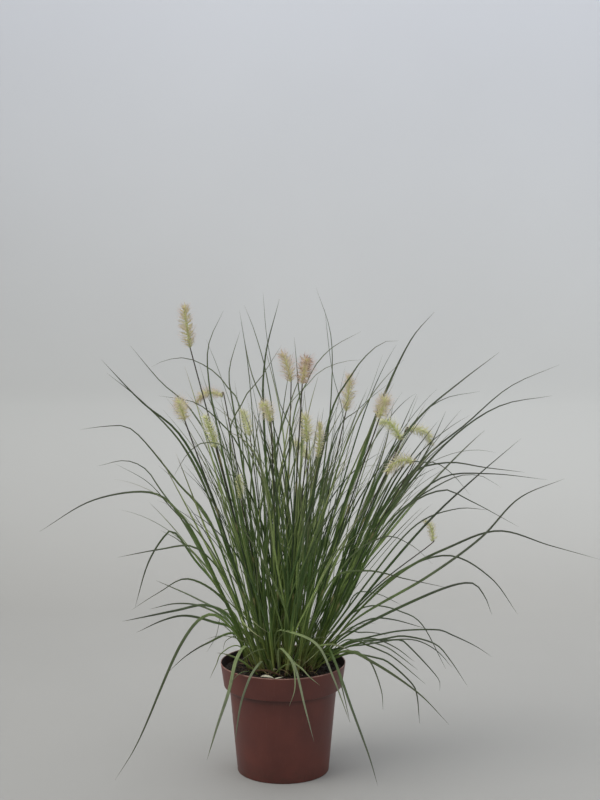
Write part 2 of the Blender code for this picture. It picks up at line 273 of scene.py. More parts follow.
def add_node(tree, kind, inputs=(), out=0, stops=(), **settings):
    """Add one shader node with its settings and links, and return the output asked for, if it has any.

    The inputs come in the node's own order, or by their names or numbers. Each is a value, a hex
    colour, or another node's output to link. The stops of a colour ramp are (place, hex colour) pairs.
    """
    made = tree.nodes.new("ShaderNode" + kind)
    for name, value in settings.items():
        setattr(made, name, value)
    for key, value in inputs.items() if isinstance(inputs, dict) else enumerate(inputs):
        if isinstance(value, bpy.types.NodeSocket):
            tree.links.new(value, made.inputs[key])
        else:
            made.inputs[key].default_value = linear(value) if isinstance(value, str) else value
    if stops:
        elements = made.color_ramp.elements
        while len(elements) < len(stops):
            elements.new(1.0)
        for element, (place, colour) in zip(elements, stops):
            element.position = place
            element.color = linear(colour)
    return made.outputs[out] if made.outputs else None


def new_material(name):
    """An empty material, and the function that adds a node to it."""
    made = bpy.data.materials.new(name)
    made.use_nodes = True
    made.node_tree.nodes.clear()
    return made, partial(add_node, made.node_tree)


def grain(node, size, detail=3.0, stretch=(1.0, 1.0, 1.0)):
    """Cloudy patches on the object's own coordinates, so many millimetres across; from 0 to 1."""
    place = node("Mapping", {"Vector": node("TexCoord", out="Object"), "Scale": stretch})
    return node("TexNoise", {"Vector": place, "Scale": 1.0 / (size * MM), "Detail": detail})


def patchy(node, cover, size, low, high, least, most):
    """A layer's cover broken up by patches: the grain from low to high leaves the least to the most."""
    patches = node("MapRange", (grain(node, size), low, high, least, most))
    return node("Math", (cover, patches), operation="MULTIPLY")


def layered(node, colour, *layers):
    """A colour under layers, each given by how it blends, its cover from 0 to 1, and its colour."""
    for blend, cover, layer in layers:
        colour = node("Mix", {0: cover, 6: colour, 7: layer}, out=2, data_type="RGBA", blend_type=blend)
    return colour


def mottled(node, colour, darkest, lightest, *grain_terms):
    """A colour times a grain that runs from its darkest to its lightest share."""
    mottle = node("MapRange", (grain(node, *grain_terms), 0.3, 0.7, darkest, lightest))
    return layered(node, colour, ("MULTIPLY", 1.0, mottle))


def thin_sheet(node, surface, colour, share):
    """A surface that lets a share of the light through, in a colour."""
    return node("MixShader", (share, surface, node("BsdfTranslucent", (colour,))))


def moulded_polypropylene():
    """Injection-moulded polypropylene, recycled: matt red-brown, cloudy, paler at the lip with rubbed wear
    and a painted highlight, and with painted shade under the collar and on the inner wall.
    """
    made, node = new_material("moulded_polypropylene")
    height = node("SeparateXYZ", (node("TexCoord", out="Object"),), out="Z")
    cloud = grain(node, 45.0, 4.0)
    # Fine scratches run down the wall, drawn 2 mm apart so that they show.
    scratch = grain(node, 2.0, 2.0, (1.0, 1.0, 0.08))
    # Painted shade: the groove under the collar is darkened nearly to black, as if in the collar's shadow.
    groove_low, groove_high = (COLLAR_FOOT - 9.0) * MM, (COLLAR_FOOT - 1.0) * MM
    up_to_groove = node("MapRange", (height, groove_low, groove_high))
    past_groove = node("MapRange", (height, groove_high, COLLAR_FOOT * MM, 0.6, 0.0))
    collar_shade = node("Math", (up_to_groove, past_groove), operation="MULTIPLY")
    # Dust and dried splashes gather on the lowest 25 mm.
    splash = patchy(node, node("MapRange", (height, 0.0, 25.0 * MM, 1.0, 0.0)), 6.0, 0.4, 0.65, 0.0, 0.55)
    # Painted shade: the inner wall is darkened nearly to black in patches, as if shaded by the clump.
    inside = node("Attribute", out="Fac", attribute_name="inside")
    inner_wall_shade = patchy(node, inside, 8.0, 0.2, 0.6, 0.6, 0.95)
    # The lip is painted pale in patches: rubbed wear, and a painted highlight where the rim catches the
    # light.
    lip = node("MapRange", (height, (POT_HEIGHT - 1.6) * MM, (POT_HEIGHT - 0.4) * MM))
    lip_wear_and_highlight = patchy(node, lip, 9.0, 0.35, 0.6, 0.28, 0.8)
    colour = layered(node, "#5e2f28",
                     ("MIX", node("MapRange", (cloud, 0.35, 0.7)), "#6e392f"),
                     ("MIX", node("MapRange", (scratch, 0.62, 0.8, 0.0, 0.35)), "#7a4c45"),
                     # painted shade in the groove under the collar
                     ("MIX", collar_shade, "#2b1410"),
                     ("MIX", splash, "#4a3327"),
                     # painted shade on the inner wall
                     ("MIX", inner_wall_shade, "#1d1512"),
                     # rubbed wear and painted highlight on the lip
                     ("MIX", lip_wear_and_highlight, "#b98f80"))
    # The mould's fine texture, drawn 1.2 mm coarse so that it shows at all.
    texture = node("Bump", {"Height": grain(node, 1.2, 2.0), "Distance": 0.05 * MM, "Strength": 0.35})
    roughness = node("MapRange", (cloud, 0.3, 0.7, 0.40, 0.54))
    node("OutputMaterial", (node("BsdfPrincipled", {
        "Base Color": colour, "Roughness": roughness, "Normal": texture, "IOR": 1.49}),))
    return made


def peat_compost():
    """Moist peat compost, sieved: near black with brown fibres, quite matt."""
    made, node = new_material("peat_compost")
    # Crumbs of 3 to 4 mm.
    crumb = grain(node, 3.5, 6.0)
    colour = node("ValToRGB", (crumb,),
                  stops=((0.3, "#120d0a"), (0.5, "#241a13"), (0.68, "#3a2a1e"), (0.8, "#54402e")))
    roughness = node("MapRange", (crumb, 0.3, 0.7, 0.75, 0.98))
    texture = node("Bump", {"Height": grain(node, 1.6, 5.0), "Distance": 0.8 * MM, "Strength": 0.8})
    node("OutputMaterial", (node("BsdfPrincipled", {
        "Base Color": colour, "Roughness": roughness, "Normal": texture}),))
    return made


def bark_fibre():
    """Shredded bark and coir: dull brown sticks, each its own shade, with a fibrous grain."""
    made, node = new_material("bark_fibre")
    tone = node("Attribute", out="Fac", attribute_name="tone")
    colour = node("ValToRGB", (tone,), stops=((0.0, "#241811"), (0.5, "#3f2c1e"), (1.0, "#675139")))
    texture = node("Bump", {"Height": grain(node, 0.7), "Distance": 0.2 * MM, "Strength": 0.5})
    node("OutputMaterial", (node("BsdfPrincipled", {
        "Base Color": mottled(node, colour, 0.75, 1.15, 0.8), "Roughness": 0.9, "Normal": texture}),))
    return made


def perlite():
    """Perlite: blown volcanic glass, white to grey grains with pits, dirtied by the peat."""
    made, node = new_material("perlite")
    colour = node("ValToRGB", (grain(node, 1.5, 4.0),),
                  stops=((0.3, "#8f8576"), (0.55, "#cfc8ba"), (0.7, "#e3ded3")))
    pits = node("Bump", {"Height": grain(node, 0.6), "Distance": 0.3 * MM, "Strength": 0.7})
    node("OutputMaterial", (node("BsdfPrincipled", {
        "Base Color": colour, "Roughness": 0.8, "Normal": pits}),))
    return made


def grass_blade():
    """Fountain grass leaf: waxy deep green with a pale foot, veins along it and a drying tip."""
    made, node = new_material("grass_blade")
    along, across, tone = [node("Attribute", out="Fac", attribute_name=name)
                           for name in ("along", "across", "tone")]
    deep = node("ValToRGB", (along,), stops=(
        (0.0, "#b4ae68"), (0.06, "#8a984a"), (0.18, "#587538"), (0.42, "#4f6d39"), (0.68, "#415736"),
        (0.92, "#374230"), (1.0, "#42453a")))
    light = node("ValToRGB", (along,), stops=(
        (0.0, "#d3d398"), (0.08, "#bccb78"), (0.25, "#bdd67c"), (0.6, "#c6d98c"), (0.9, "#c2c596"),
        (0.97, "#bfad94"), (1.0, "#e6dcc6")))
    # The palest blades hang loose at the front; their grey-green is a painted sheen, the light they catch.
    front_sheen = node("MapRange", (tone, 0.9, 1.0, 0.0, 0.95))
    # About fourteen veins cross a blade; their sine runs on the across coordinate, -1 to 1.
    vein = node("Math", (node("Math", (across, 44.0), operation="MULTIPLY"),), operation="SINE")
    # The midrib is a pale line.
    rib = node("Math", (across,), operation="ABSOLUTE")
    # The outer and the low blades are mixed towards a dull grey-green, by where they stand.
    place = node("TexCoord", out="Object")
    level = node("VectorMath", (place, (1.0, 1.0, 0.0)), operation="MULTIPLY")
    reach = node("VectorMath", (level,), out="Value", operation="LENGTH")
    low = node("MapRange", (node("SeparateXYZ", (place,), out="Z"), 280.0 * MM, 210.0 * MM))
    low_out = node("MapRange", (reach, 75.0 * MM, 130.0 * MM, 0.0, 0.65))
    far_out = node("MapRange", (reach, 120.0 * MM, 230.0 * MM, 0.0, 0.8))
    low = node("Math", (low, low_out), operation="MULTIPLY")
    age = node("Math", (low, far_out), operation="MAXIMUM")
    colour = layered(node, deep,
                     # painted sheen on the palest blades at the front
                     ("MIX", tone, layered(node, light, ("MIX", front_sheen, "#94a07c"))),
                     ("MIX", node("MapRange", (vein, 0.2, 1.0, 0.0, 0.14)), "#8a9c62"),
                     ("MIX", node("MapRange", (rib, 0.0, 0.14, 0.22, 0.0)), "#a3ac78"),
                     # outer and low blades duller and greyer, by their place
                     ("MIX", age, "#61655b"))
    # The mottle is drawn out along the mostly upright blades.
    colour = mottled(node, colour, 0.82, 1.15, 7.0, 4.0, (1.0, 1.0, 0.25))
    ridges = node("Bump", {"Height": vein, "Distance": 0.06 * MM, "Strength": 0.35})
    roughness = node("MapRange", (vein, -1.0, 1.0, 0.42, 0.54))
    wax = node("BsdfPrincipled", {"Base Color": colour, "Roughness": roughness, "Normal": ridges,
                                  "IOR": 1.42, "Specular IOR Level": 0.4})
    lit_through = layered(node, colour, ("MIX", 0.4, "#93ab3f"))
    node("OutputMaterial", (thin_sheet(node, wax, lit_through, 0.22),))
    return made


def dry_leaf():
    """Dead leaf sheaths at the foot of the clump: papery straw to russet."""
    made, node = new_material("dry_leaf")
    tone = node("Attribute", out="Fac", attribute_name="tone")
    colour = node("ValToRGB", (tone,),
                  stops=((0.0, "#55331f"), (0.5, "#6e593a"), (0.9, "#998961"), (1.0, "#c9c5ae")))
    texture = node("Bump", {"Height": grain(node, 1.0), "Distance": 0.15 * MM, "Strength": 0.5})
    node("OutputMaterial", (node("BsdfPrincipled", {
        "Base Color": mottled(node, colour, 0.75, 1.15, 4.0, 4.0), "Roughness": 0.8, "Normal": texture}),))
    return made


def grass_culm():
    """Flowering stem: a smooth green culm, straw-coloured below its spike and at its joints."""
    made, node = new_material("grass_culm")
    along, joint = [node("Attribute", out="Fac", attribute_name=name) for name in ("along", "joint")]
    colour = node("ValToRGB", (along,), stops=(
        (0.0, "#8f9a5c"), (0.2, "#465c2f"), (0.6, "#343f28"), (0.93, "#453d2e"), (1.0, "#6d6142")))
    # The mottle is drawn out along the stem.
    mottle = 8.0, 3.0, (1.0, 1.0, 0.2)
    colour = layered(node, mottled(node, colour, 0.85, 1.15, *mottle), ("MIX", joint, "#a8a06a"))
    roughness = node("MapRange", (grain(node, *mottle), 0.3, 0.7, 0.42, 0.55))
    ribs = node("Bump", {"Height": grain(node, 1.0, 2.0, (1.0, 1.0, 0.1)), "Distance": 0.05 * MM,
                         "Strength": 0.4})
    node("OutputMaterial", (node("BsdfPrincipled", {
        "Base Color": colour, "Roughness": roughness, "Normal": ribs, "IOR": 1.42}),))
    return made


def spikelet_husk():
    """Spikelets: papery scales, fresh yellow-green when young, then straw brushed with brown."""
    made, node = new_material("spikelet_husk")
    along, ripeness, tone = [node("Attribute", out="Fac", attribute_name=name)
                             for name in ("along", "ripeness", "tone")]
    fresh = node("ValToRGB", (along,),
                 stops=((0.0, "#f0f5c4"), (0.5, "#fafbdc"), (0.85, "#f2f0cf"), (1.0, "#b8b083")))
    ripe = node("ValToRGB", (along,),
                stops=((0.0, "#f3f0c4"), (0.4, "#f8efd6"), (0.75, "#ccb190"), (1.0, "#6b5040")))
    colour = layered(node, fresh, ("MIX", ripeness, ripe),
                     ("MIX", node("MapRange", (tone, 0.5, 1.0, 0.0, 0.5)), "#e2dfc0"))
    texture = node("Bump", {"Height": grain(node, 0.6), "Distance": 0.1 * MM, "Strength": 0.5})
    paper = node("BsdfPrincipled", {"Base Color": colour, "Roughness": 0.7, "Normal": texture})
    node("OutputMaterial", (thin_sheet(node, paper, colour, 0.62),))
    return made


def spike_bristle():
    """Bristles: translucent cream hairs that flush pink and brown towards their tips."""
    made, node = new_material("spike_bristle")
    along, ripeness = [node("Attribute", out="Fac", attribute_name=name) for name in ("along", "ripeness")]
    fresh = node("ValToRGB", (along,), stops=((0.0, "#f3f6d2"), (0.5, "#fafae6"), (1.0, "#fcfbf2")))
    ripe = node("ValToRGB", (along,),
                stops=((0.0, "#f8f4dc"), (0.45, "#f7e7df"), (0.8, "#ecd2cb"), (1.0, "#dcb8b0")))
    colour = layered(node, fresh, ("MIX", ripeness, ripe))
    hair = node("BsdfPrincipled", {"Base Color": colour, "Roughness": 0.55})
    node("OutputMaterial", (thin_sheet(node, hair, colour, 0.5),))
    return made


# ---------------------------------------------------------------- shapes

def put_mesh(name, shape, finish):
    """A smooth mesh piece. Its shape is points in millimetres, blocks of faces, and stored values."""
    points, faces, values = shape
    mesh = bpy.data.meshes.new(name)
    mesh.vertices.add(len(points))
    mesh.vertices.foreach_set("co", (points * MM).astype(np.float32).ravel())
    corners = np.concatenate([block.ravel() for block in faces])
    sizes = np.concatenate([np.full(len(block), block.shape[1]) for block in faces])
    starts = np.concatenate([[0], np.cumsum(sizes)[:-1]])
    mesh.loops.add(len(corners))
    mesh.loops.foreach_set("vertex_index", corners.astype(np.int32))
    mesh.polygons.add(len(sizes))
    mesh.polygons.foreach_set("loop_start", starts.astype(np.int32))
    mesh.update(calc_edges=True)
    mesh.shade_smooth()
    for key, stored in values.items():
        layer = mesh.attributes.new(key, "FLOAT", "POINT")
        layer.data.foreach_set("value", stored.astype(np.float32).ravel())
    mesh.materials.append(finish)
    piece = bpy.data.objects.new(name, mesh)
    bpy.context.collection.objects.link(piece)
    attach(piece, "root")
    return piece


def unit(vectors):
    """Vectors brought to length one, along the last axis."""
    return vectors / np.maximum(np.linalg.norm(vectors, axis=-1, keepdims=True), 1e-9)


def ring(count):
    """So many angles, spaced evenly round a full turn."""
    return np.linspace(0.0, FULL_TURN, count, endpoint=False)


def flat_way(angle):
    """The level direction at an angle, as (x, y) pairs."""
    return np.stack([np.cos(angle), np.sin(angle)], axis=-1)


def joined(parts):
    """Several shapes as one."""
    offset = 0
    all_faces = []
    for points, faces, _ in parts:
        all_faces += [block + offset for block in faces]
        offset += len(points)
    points = np.concatenate([part[0] for part in parts])
    values = {key: np.concatenate([part[2][key] for part in parts]) for key in parts[0][2]}
    return points, all_faces, values


def smooth_route(points, stations):
    """One smooth curve through the points, at evenly spaced stations.

    Between two points it is the cubic whose slope at each of them is half the step between that
    point's two neighbours. Its stations are then respaced to equal lengths.
    """
    points = np.asarray(points, dtype=float)
    padded = np.vstack([2.0 * points[0] - points[1], points, 2.0 * points[-1] - points[-2]])
    before, start, end, after = (padded[i:len(padded) - 3 + i, None, :] for i in range(4))
    share = np.linspace(0.0, 1.0, 16, endpoint=False)[None, :, None]
    curve = 0.5 * (2.0 * start + (end - before) * share
                   + (2.0 * before - 5.0 * start + 4.0 * end - after) * share ** 2
                   + (3.0 * start - before - 3.0 * end + after) * share ** 3)
    curve = np.vstack([curve.reshape(-1, 3), points[-1]])
    run = np.concatenate([[0.0], np.cumsum(np.linalg.norm(np.diff(curve, axis=0), axis=1))])
    places = np.linspace(0.0, run[-1], stations)
    return np.column_stack([np.interp(places, run, curve[:, axis]) for axis in range(3)])


def carried(routes, sideways, aside, through, **values):
    """Closed outlines carried along many routes at once.

    A point of an outline is the route's point, plus its aside offset along the side direction, plus
    its through offset along the direction square to both side and route. Both ends are closed by
    one face. routes is (pieces, stations, 3); the offsets are (pieces, stations, corners), and the
    stored values are stretched to that.
    """
    ahead = unit(np.gradient(routes, axis=1))
    side = sideways[:, None, :] - ahead * np.sum(sideways[:, None, :] * ahead, axis=-1, keepdims=True)
    side = unit(side)
    upper = np.cross(ahead, side)
    points = (routes[:, :, None, :] + side[:, :, None, :] * aside[..., None]
              + upper[:, :, None, :] * through[..., None])
    index = np.arange(aside.size).reshape(aside.shape)
    beside = np.roll(index, -1, axis=2)
    walls = np.stack([index[:, :-1], index[:, 1:], beside[:, 1:], beside[:, :-1]], axis=-1)
    ends = np.concatenate([index[:, 0], index[:, -1, ::-1]])
    values = {key: np.broadcast_to(value, aside.shape).ravel() for key, value in values.items()}
    return points.reshape(-1, 3), [walls.reshape(-1, 4), ends], values


def rods(routes, sideways, girth, corners, flatness=1.0, **values):
    """Round rods along routes: a ring of corners times the girth, squashed one way by the flatness."""
    girth = girth * np.ones((*routes.shape[:2], 1))
    angle = ring(corners)
    return carried(routes, sideways, -girth * np.cos(angle), girth * flatness * np.sin(angle), **values)


def spun(outline, steps):
    """An outline of (radius, height) points spun about the Z axis; both its ends are closed by a disc.

    The outline runs from the middle of the top or inside, out and down the outer side.
    """
    radius, height = np.asarray(outline, dtype=float).T
    round_points = radius[:, None, None] * flat_way(ring(steps))
    heights = np.repeat(height[:, None, None], steps, axis=1)
    index = np.arange(radius.size * steps).reshape(radius.size, steps)
    beside = np.roll(index, -1, axis=1)
    walls = np.stack([index[:-1], index[1:], beside[1:], beside[:-1]], axis=-1)
    faces = [walls.reshape(-1, 4), index[:1], index[-1:, ::-1]]
    return np.concatenate([round_points, heights], axis=-1), faces


def rounded(corners, radius, pieces=6):
    """An outline of (radius, height) points with each inner corner rounded.

    A corner becomes the parabola that starts and ends so many millimetres from it along its two sides.
    """
    corners = np.asarray(corners, dtype=float)
    curves = [corners[:1]]
    share = np.linspace(0.0, 1.0, pieces)[:, None]
    for before, corner, after in zip(corners[:-2], corners[1:-1], corners[2:]):
        start, end = [corner + side * min(radius / np.linalg.norm(side), 0.45)
                      for side in (before - corner, after - corner)]
        curves.append(start * (1 - share) ** 2 + corner * 2 * share * (1 - share) + end * share ** 2)
    return np.vstack([*curves, corners[-1:]])


def lumps(x, y, rng, longest, shortest, waves=40):
    """Uneven ground: waves of random direction and phase, whose height falls with their length."""
    lengths = np.geomspace(longest, shortest, waves)
    turn = rng.uniform(0.0, FULL_TURN, waves)
    phase = rng.uniform(0.0, FULL_TURN, waves)
    reach = x[..., None] * np.cos(turn) + y[..., None] * np.sin(turn)
    heights = np.sin(reach * FULL_TURN / lengths + phase) * (lengths / longest) ** 0.8
    return heights.sum(axis=-1) / math.sqrt(waves)


# ---------------------------------------------------------------- pot and compost

def inner_wall(height):
    """The pot's inner radius at a height: the outer radius less the wall."""
    body = BASE_RADIUS + (BODY_TOP_RADIUS - BASE_RADIUS) * height / STEP_FOOT
    collar_share = max(height - COLLAR_FOOT, 0.0) / COLLAR_HEIGHT
    collar = COLLAR_FOOT_RADIUS + (RIM_RADIUS - COLLAR_FOOT_RADIUS) * collar_share
    return float(body if height <= STEP_FOOT else collar) - WALL


def build_pot(finish):
    """The pot: its wall's outline spun round, then the drain holes cut through its base."""
    steps = 144
    centre = 0.4
    outline = rounded([
        (centre, POT_FLOOR),
        (inner_wall(0.0), POT_FLOOR),
        (inner_wall(STEP_FOOT), STEP_FOOT),
        (inner_wall(COLLAR_FOOT), COLLAR_FOOT),
        (RIM_RADIUS - WALL, POT_HEIGHT),
        (RIM_RADIUS, POT_HEIGHT),
        (COLLAR_FOOT_RADIUS, COLLAR_FOOT),
        (BODY_TOP_RADIUS + 0.8, STEP_FOOT + 1.2),
        (BODY_TOP_RADIUS - 0.3, STEP_FOOT - 4.0),
        (BASE_RADIUS, 0.0),
        (centre, 0.0),
    ], 1.0)
    points, faces = spun(outline, steps)
    inside = np.repeat(np.arange(len(outline)) < np.argmax(outline[:, 1]), steps)
    pot = put_mesh("nursery_pot", (points.reshape(-1, 3), faces, {"inside": inside}), finish)
    below, above = -4.0, 6.0
    middles = HOLE_RING * flat_way(FULL_TURN * (np.arange(HOLE_COUNT) + 0.5) / HOLE_COUNT)
    drills = np.stack([np.column_stack([middles, np.full(HOLE_COUNT, z)]) for z in (below, above)], axis=1)
    sideways = np.tile([1.0, 0.0, 0.0], (HOLE_COUNT, 1))
    cutter = put_mesh("drain_drills", rods(drills, sideways, HOLE_RADIUS, 28), finish)
    cut = pot.modifiers.new("drain_holes", "BOOLEAN")
    cut.operation = "DIFFERENCE"
    cut.solver = "EXACT"
    cut.object = cutter
    evaluated = pot.evaluated_get(bpy.context.evaluated_depsgraph_get())
    drilled = bpy.data.meshes.new_from_object(evaluated)
    pot.modifiers.clear()
    pot.data = drilled
    drilled.shade_smooth()
    drilled.set_sharp_from_angle(angle=math.radians(50.0))
    bpy.data.objects.remove(cutter, do_unlink=True)
    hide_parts("pot")


def soil_level(reach):
    """The compost's level at a distance from the middle: flat at the wall, mounded under the clump."""
    share = np.minimum(reach / MOUND_RADIUS, 1.0)
    return SOIL_EDGE + SOIL_MOUND * (1.0 - share ** 2) ** 2


def soil_height(x, y):
    """The compost's surface: its level, with lumps of a millimetre or two."""
    return soil_level(np.hypot(x, y)) - 0.8 + lumps(x, y, np.random.default_rng(RANDOM_SEED), 26.0, 3.0)


def build_soil(finish):
    """The compost: a lumpy top, and plain sides that stay a hair's breadth inside the pot."""
    clear = 0.45
    centre = 0.5
    ledge = COLLAR_FOOT + 0.4
    base = POT_FLOOR + 0.3
    top_rings = np.linspace(centre, inner_wall(SOIL_EDGE) - clear, 64)
    outline = [
        *((radius, SOIL_EDGE) for radius in top_rings),
        (inner_wall(ledge) - clear, ledge),
        (inner_wall(STEP_FOOT) - clear, STEP_FOOT + 0.4),
        (inner_wall(base) - clear, base),
        (centre, base),
    ]
    points, faces = spun(outline, 200)
    top = points[:top_rings.size]
    top[..., 2] = soil_height(top[..., 0], top[..., 1])
    soil = put_mesh("compost_body", (points.reshape(-1, 3), faces, {}), finish)
    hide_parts("potting_soil")


def twenty_faced():
    """The corners and faces of a twenty-faced solid of radius 1."""
    golden = (1.0 + math.sqrt(5.0)) / 2.0
    corners = [(-1, golden, 0), (1, golden, 0), (-1, -golden, 0), (1, -golden, 0),
               (0, -1, golden), (0, 1, golden), (0, -1, -golden), (0, 1, -golden),
               (golden, 0, -1), (golden, 0, 1), (-golden, 0, -1), (-golden, 0, 1)]
    faces = [(0, 11, 5), (0, 5, 1), (0, 1, 7), (0, 7, 10), (0, 10, 11), (1, 5, 9), (5, 11, 4),
             (11, 10, 2), (10, 7, 6), (7, 1, 8), (3, 9, 4), (3, 4, 2), (3, 2, 6), (3, 6, 8),
             (3, 8, 9), (4, 9, 5), (2, 4, 11), (6, 2, 10), (8, 6, 7), (9, 8, 1)]
    return unit(np.array(corners, dtype=float)), np.array(faces)


def build_grains(name, count, smallest, largest, finish, rng):
    """Loose grains on the compost: twenty-faced solids, each corner pushed in or out at random.

    Small grains are the most common, because a grain's size runs from the smallest to the largest as
    the ratio of the two to a random power. Each is sunk to three quarters of its size.
    """
    corners, faces = twenty_faced()
    radius = (inner_wall(SOIL_EDGE) - largest - 1.0) * np.sqrt(rng.uniform(0.0, 1.0, count))
    turn = rng.uniform(0.0, FULL_TURN, count)
    x = radius * np.cos(turn)
    y = radius * np.sin(turn)
    size = smallest * (largest / smallest) ** (rng.uniform(0.0, 1.0, count) ** 2.2)
    z = soil_height(x, y) + size * 0.25
    shape = corners * rng.uniform(0.65, 1.3, (count, len(corners), 1)) * rng.uniform(0.6, 1.2, (count, 1, 3))
    points = np.stack([x, y, z], axis=-1)[:, None, :] + shape * size[:, None, None]
    index = faces + (np.arange(count) * len(corners))[:, None, None]
    piece = put_mesh(name, (points.reshape(-1, 3), [index.reshape(-1, 3)], {}), finish)
    piece.data.shade_flat()


def build_fibres(finish, rng):
    """Bark fibres on the compost: short crooked sticks, thinner towards both ends.

    A stick lies on the compost and turns sideways in proportion to the distance from its middle. Its
    girth falls with the square of that distance.
    """
    farthest = 74.0
    room = 76.0
    count = FIBRE_COUNT
    share = np.linspace(-0.5, 0.5, 7)
    radius = farthest * np.sqrt(rng.uniform(0.0, 1.0, count))
    turn = rng.uniform(0.0, FULL_TURN, count)
    heading = rng.uniform(0.0, FULL_TURN, count)
    length = rng.uniform(4.0, 17.0, count)
    # A stick near the wall is short enough to clear it.
    length = np.minimum(length, (room - radius) * 1.6 + 3.0)
    bend = rng.normal(0.0, 0.9, count)[:, None] * share
    middle = radius[:, None, None] * flat_way(turn)[:, None, :]
    flat = middle + (length[:, None] * share)[..., None] * flat_way(heading[:, None] + bend)
    z = soil_height(flat[..., 0], flat[..., 1]) + 0.6 + rng.uniform(0.0, 1.6, (count, 1)) * share
    routes = np.concatenate([flat, z[..., None]], axis=-1)
    girth = rng.uniform(0.3, 0.9, (count, 1, 1)) * (1.0 - 3.2 * share ** 2)[None, :, None]
    sideways = np.stack([-np.sin(heading), np.cos(heading), np.zeros(count)], axis=-1)
    tone = rng.uniform(0.0, 1.0, count)[:, None, None]
    put_mesh("bark_fibres", rods(routes, sideways, girth, 5, 0.6, tone=tone), finish)


# ---------------------------------------------------------------- grass

def root_under(points, lift):
    """Where shoots that head for these points leave the compost.

    A shoot heads away from a point under the crown, and no farther out than the crown's edge.
    """
    points = np.asarray(points, dtype=float)
    sideways = np.linalg.norm(points[..., :2], axis=-1)
    reach = np.minimum(sideways * CROWN_DEPTH / (points[..., 2] - SOIL_EDGE + CROWN_DEPTH), CROWN_RADIUS)
    flat = points[..., :2] / np.maximum(sideways, 1e-6)[..., None] * reach[..., None]
    return np.concatenate([flat, (soil_level(reach) + lift)[..., None]], axis=-1)


def facing(routes):
    """How far each blade is rolled so that its flat side shows from the front, in radians.

    A blade that heads away from or towards the front shows it already; one that heads sideways needs
    a quarter turn by the middle of its length, where blades has given it two thirds of its roll.
    """
    full_roll = 2.1
    chord = routes[:, -1] - routes[:, 0]
    sideways = np.abs(chord[:, 0]) / np.maximum(np.linalg.norm(chord[:, :2], axis=-1), 1e-6)
    return np.sign(chord[:, 0]) * sideways * full_roll


def blades(routes, widths, tones, twists, tip_power=2.2):
    """Grass blades along routes.

    Half the width grows from the sheath to its full size over the first third, and falls as one less
    the share of the length to a power, which is one for all or one for each blade. The section is a
    shallow gutter: its edges stand higher than its midrib, and its thickness is greatest at the
    midrib and nothing at the edges. The gutter is nearly closed at the root and opens along the
    blade. A blade's twist grows along it.
    """
    share = np.linspace(0.0, 1.0, routes.shape[1])[None, :, None]
    place = np.array([-1.0, -0.5, 0.0, 0.5, 1.0, 0.5, 0.0, -0.5])
    upper = np.array([0.0, 1.0, 1.0, 1.0, 0.0, -1.0, -1.0, -1.0])
    grown = 0.42 + 0.58 * np.clip(share / 0.35, 0.0, 1.0) ** 0.9
    tip_power = np.reshape(tip_power, (-1, 1, 1))
    half = widths[:, None, None] * 0.5 * grown * np.maximum(1.0 - share ** tip_power, 0.02) ** 0.85
    fold = 0.32 + 0.9 * np.clip(1.0 - share / 0.2, 0.0, 1.0)
    thick = np.minimum(0.22 + 0.25 * (1.0 - share), half * 0.5) * np.sqrt(1.0 - place ** 2)
    aside = half * place / np.sqrt(1.0 + (fold * 0.8) ** 2)
    through = half * fold * np.abs(place) ** 1.3 + thick * upper
    turn = twists[:, None, None] * (0.35 + 0.65 * share)
    turned_aside = aside * np.cos(turn) - through * np.sin(turn)
    turned_through = aside * np.sin(turn) + through * np.cos(turn)
    chord = routes[:, -1] - routes[:, 0]
    sideways = unit(np.stack([-chord[:, 1], chord[:, 0], np.zeros(len(routes))], axis=-1) + 1e-6)
    return carried(routes, sideways, turned_aside, turned_through,
                   along=share, across=place, tone=tones[:, None, None])


def build_arching_leaves(finish, rng):
    """The ten leaves that have a solid each, on the same routes."""
    for number, (width, tone, points) in enumerate(ARCHING_LEAVES, 1):
        route = smooth_route([root_under(points[0], 0.5), *points], 44)[None]
        roll = facing(route) + rng.normal(0.0, 0.3, 1)
        made = blades(route, np.array([width]), np.array([tone]), roll, 3.0)
        leaf = put_mesh(f"arching_blade_{number:02d}", made, finish)
        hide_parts(f"arching_leaf_{number:02d}")


def loose_routes(stations):
    """The routes of LOOSE_BLADES and HANGING_BLADES.

    A loose blade is rooted at about a fifth of its tip's depth, and its depth runs from the one to the
    other as the share of its length to the power 1.3.
    """
    root_share = 0.22
    routes = []
    for depth, root_x, _, _, points in LOOSE_BLADES:
        root_y = depth * root_share
        root_z = float(soil_level(math.hypot(root_x, root_y)))
        flat = np.array([(root_x, root_z), *points], dtype=float)
        route = smooth_route(np.column_stack([flat[:, 0], np.zeros(len(flat)), flat[:, 1]]), stations)
        share = np.linspace(0.0, 1.0, stations) ** 1.3
        route[:, 1] = root_y + (depth - root_y) * share
        routes.append(route)
    for _, _, points in HANGING_BLADES:
        routes.append(smooth_route([root_under(points[0], 0.0) * (0.8, 0.8, 1.0), *points], stations))
    return np.array(routes)


